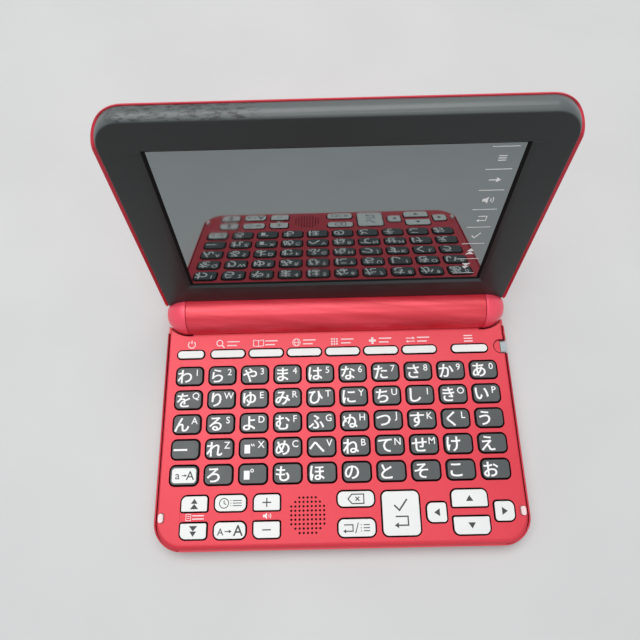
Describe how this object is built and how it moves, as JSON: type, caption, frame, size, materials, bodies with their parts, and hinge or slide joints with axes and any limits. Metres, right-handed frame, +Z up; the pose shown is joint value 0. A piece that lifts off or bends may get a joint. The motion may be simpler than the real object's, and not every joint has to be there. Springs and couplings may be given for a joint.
{
  "type": "electronic dictionary",
  "caption": "Red clamshell electronic dictionary with a hinged display lid, a battery barrel at the hinge, a full keyboard, a speaker grille and a side stylus.",
  "frame": {"origin": "middle of the open object's footprint, on the desk", "axes": "+X along the hinge to the user's right, +Y from the front edge to the hinge and the lid, +Z up"},
  "size_m": [0.148, 0.1309, 0.1003],
  "materials": {
    "case_red": "semi-gloss pinkish red",
    "lid_red": "glossy pinkish red",
    "bezel_charcoal": "satin charcoal",
    "screen_glass": "dark glossy glass",
    "lcd": "dark grey",
    "key_grey": "satin grey with white legends",
    "key_white": "satin white",
    "bumper_white": "soft white",
    "stylus_grey": "satin blue grey",
    "foot_rubber": "matt black",
    "steel": "satin",
    "spring_steel": "bright",
    "clutch_metal": "satin",
    "speaker_metal": "dark satin",
    "cell": "plain wrapped cell",
    "board": "green lacquer",
    "silicone": "translucent grey",
    "black_plastic": "black",
    "flex": "amber film"
  },
  "bodies": {
    "base": {"base_upper_case": "case_red", "base_lower_case": "case_red", "hinge_barrel": "case_red", "battery_left": "cell", "battery_right": "cell", "battery_contacts": "spring_steel", "main_board": "board", "key_mat": "silicone", "speaker": "speaker_metal", "lid_bumpers": "bumper_white", "rubber_feet": "foot_rubber", "case_screws": "steel", "headphone_jack": "black_plastic", "usb_socket": "steel", "hinge_clutch": "clutch_metal"},
    "lid": {"lid_bezel": "bezel_charcoal", "lid_back_cover": "lid_red", "display_glass": "screen_glass", "lcd_module": "lcd", "lcd_frame": "steel", "display_cable": "flex", "hinge_cap_left": "lid_red", "hinge_cap_right": "lid_red", "hinge_shaft": "steel"},
    "battery_cover": {"battery_cover": "case_red"},
    "stylus": {"stylus": "stylus_grey"},
    "card_slot_cover": {"card_slot_cover": "case_red"},
    "keys_col_1": {"keys_col_1": "key_grey"},
    "keys_col_2": {"keys_col_2": "key_grey"},
    "keys_col_3": {"keys_col_3": "key_grey"},
    "keys_col_4": {"keys_col_4": "key_grey"},
    "keys_col_5": {"keys_col_5": "key_grey"},
    "keys_col_6": {"keys_col_6": "key_grey"},
    "keys_col_7": {"keys_col_7": "key_grey"},
    "keys_col_8": {"keys_col_8": "key_grey"},
    "keys_col_9": {"keys_col_9": "key_grey"},
    "keys_col_10": {"keys_col_10": "key_grey"},
    "key_power": {"key_power": "key_white"},
    "key_jump_1": {"key_jump_1": "key_white"},
    "key_jump_2": {"key_jump_2": "key_white"},
    "key_jump_3": {"key_jump_3": "key_white"},
    "key_jump_4": {"key_jump_4": "key_white"},
    "key_jump_5": {"key_jump_5": "key_white"},
    "key_jump_6": {"key_jump_6": "key_white"},
    "key_menu": {"key_menu": "key_white"},
    "key_page_up": {"key_page_up": "key_white"},
    "key_page_down": {"key_page_down": "key_white"},
    "key_history": {"key_history": "key_white"},
    "key_text_size": {"key_text_size": "key_white"},
    "key_volume_up": {"key_volume_up": "key_white"},
    "key_volume_down": {"key_volume_down": "key_white"},
    "key_delete": {"key_delete": "key_white"},
    "key_back": {"key_back": "key_white"},
    "key_enter": {"key_enter": "key_white"},
    "key_left": {"key_left": "key_white"},
    "key_up": {"key_up": "key_white"},
    "key_down": {"key_down": "key_white"},
    "key_right": {"key_right": "key_white"}
  },
  "joints": [
    {"name": "lid_hinge", "type": "hinge", "parent": "base", "child": "lid", "pos_m": [0, 0.03109, 0.0096], "axis": [-1, 0, 0], "range_deg": [-107, 43]},
    {"name": "battery_cover_slide", "type": "slide", "parent": "base", "child": "battery_cover", "axis": [0, 0.5, -0.866], "range_m": [0, 0.015]},
    {"name": "stylus_slide", "type": "slide", "parent": "base", "child": "stylus", "axis": [1, 0, 0], "range_m": [0, 0.088]},
    {"name": "card_cover_hinge", "type": "hinge", "parent": "base", "child": "card_slot_cover", "pos_m": [0.0733, -0.00941, 0.0022], "axis": [0, 1, 0], "range_deg": [0, 90]},
    {"name": "travel_keys_col_1", "type": "slide", "parent": "base", "child": "keys_col_1", "axis": [0, 0, -1], "range_m": [0, 0.0007], "stiffness_N_per_m": 2500},
    {"name": "travel_keys_col_2", "type": "slide", "parent": "base", "child": "keys_col_2", "axis": [0, 0, -1], "range_m": [0, 0.0007], "stiffness_N_per_m": 2500},
    {"name": "travel_keys_col_3", "type": "slide", "parent": "base", "child": "keys_col_3", "axis": [0, 0, -1], "range_m": [0, 0.0007], "stiffness_N_per_m": 2500},
    {"name": "travel_keys_col_4", "type": "slide", "parent": "base", "child": "keys_col_4", "axis": [0, 0, -1], "range_m": [0, 0.0007], "stiffness_N_per_m": 2500},
    {"name": "travel_keys_col_5", "type": "slide", "parent": "base", "child": "keys_col_5", "axis": [0, 0, -1], "range_m": [0, 0.0007], "stiffness_N_per_m": 2500},
    {"name": "travel_keys_col_6", "type": "slide", "parent": "base", "child": "keys_col_6", "axis": [0, 0, -1], "range_m": [0, 0.0007], "stiffness_N_per_m": 2500},
    {"name": "travel_keys_col_7", "type": "slide", "parent": "base", "child": "keys_col_7", "axis": [0, 0, -1], "range_m": [0, 0.0007], "stiffness_N_per_m": 2500},
    {"name": "travel_keys_col_8", "type": "slide", "parent": "base", "child": "keys_col_8", "axis": [0, 0, -1], "range_m": [0, 0.0007], "stiffness_N_per_m": 2500},
    {"name": "travel_keys_col_9", "type": "slide", "parent": "base", "child": "keys_col_9", "axis": [0, 0, -1], "range_m": [0, 0.0007], "stiffness_N_per_m": 2500},
    {"name": "travel_keys_col_10", "type": "slide", "parent": "base", "child": "keys_col_10", "axis": [0, 0, -1], "range_m": [0, 0.0007], "stiffness_N_per_m": 2500},
    {"name": "travel_key_power", "type": "slide", "parent": "base", "child": "key_power", "axis": [0, 0, -1], "range_m": [0, 0.0007], "stiffness_N_per_m": 1200},
    {"name": "travel_key_jump_1", "type": "slide", "parent": "base", "child": "key_jump_1", "axis": [0, 0, -1], "range_m": [0, 0.0007], "stiffness_N_per_m": 1200},
    {"name": "travel_key_jump_2", "type": "slide", "parent": "base", "child": "key_jump_2", "axis": [0, 0, -1], "range_m": [0, 0.0007], "stiffness_N_per_m": 1200},
    {"name": "travel_key_jump_3", "type": "slide", "parent": "base", "child": "key_jump_3", "axis": [0, 0, -1], "range_m": [0, 0.0007], "stiffness_N_per_m": 1200},
    {"name": "travel_key_jump_4", "type": "slide", "parent": "base", "child": "key_jump_4", "axis": [0, 0, -1], "range_m": [0, 0.0007], "stiffness_N_per_m": 1200},
    {"name": "travel_key_jump_5", "type": "slide", "parent": "base", "child": "key_jump_5", "axis": [0, 0, -1], "range_m": [0, 0.0007], "stiffness_N_per_m": 1200},
    {"name": "travel_key_jump_6", "type": "slide", "parent": "base", "child": "key_jump_6", "axis": [0, 0, -1], "range_m": [0, 0.0007], "stiffness_N_per_m": 1200},
    {"name": "travel_key_menu", "type": "slide", "parent": "base", "child": "key_menu", "axis": [0, 0, -1], "range_m": [0, 0.0007], "stiffness_N_per_m": 1200},
    {"name": "travel_key_page_up", "type": "slide", "parent": "base", "child": "key_page_up", "axis": [0, 0, -1], "range_m": [0, 0.0007], "stiffness_N_per_m": 1200},
    {"name": "travel_key_page_down", "type": "slide", "parent": "base", "child": "key_page_down", "axis": [0, 0, -1], "range_m": [0, 0.0007], "stiffness_N_per_m": 1200},
    {"name": "travel_key_history", "type": "slide", "parent": "base", "child": "key_history", "axis": [0, 0, -1], "range_m": [0, 0.0007], "stiffness_N_per_m": 1200},
    {"name": "travel_key_text_size", "type": "slide", "parent": "base", "child": "key_text_size", "axis": [0, 0, -1], "range_m": [0, 0.0007], "stiffness_N_per_m": 1200},
    {"name": "travel_key_volume_up", "type": "slide", "parent": "base", "child": "key_volume_up", "axis": [0, 0, -1], "range_m": [0, 0.0007], "stiffness_N_per_m": 1200},
    {"name": "travel_key_volume_down", "type": "slide", "parent": "base", "child": "key_volume_down", "axis": [0, 0, -1], "range_m": [0, 0.0007], "stiffness_N_per_m": 1200},
    {"name": "travel_key_delete", "type": "slide", "parent": "base", "child": "key_delete", "axis": [0, 0, -1], "range_m": [0, 0.0007], "stiffness_N_per_m": 1200},
    {"name": "travel_key_back", "type": "slide", "parent": "base", "child": "key_back", "axis": [0, 0, -1], "range_m": [0, 0.0007], "stiffness_N_per_m": 1200},
    {"name": "travel_key_enter", "type": "slide", "parent": "base", "child": "key_enter", "axis": [0, 0, -1], "range_m": [0, 0.0007], "stiffness_N_per_m": 1200},
    {"name": "travel_key_left", "type": "slide", "parent": "base", "child": "key_left", "axis": [0, 0, -1], "range_m": [0, 0.0007], "stiffness_N_per_m": 1200},
    {"name": "travel_key_up", "type": "slide", "parent": "base", "child": "key_up", "axis": [0, 0, -1], "range_m": [0, 0.0007], "stiffness_N_per_m": 1200},
    {"name": "travel_key_down", "type": "slide", "parent": "base", "child": "key_down", "axis": [0, 0, -1], "range_m": [0, 0.0007], "stiffness_N_per_m": 1200},
    {"name": "travel_key_right", "type": "slide", "parent": "base", "child": "key_right", "axis": [0, 0, -1], "range_m": [0, 0.0007], "stiffness_N_per_m": 1200}
  ]
}
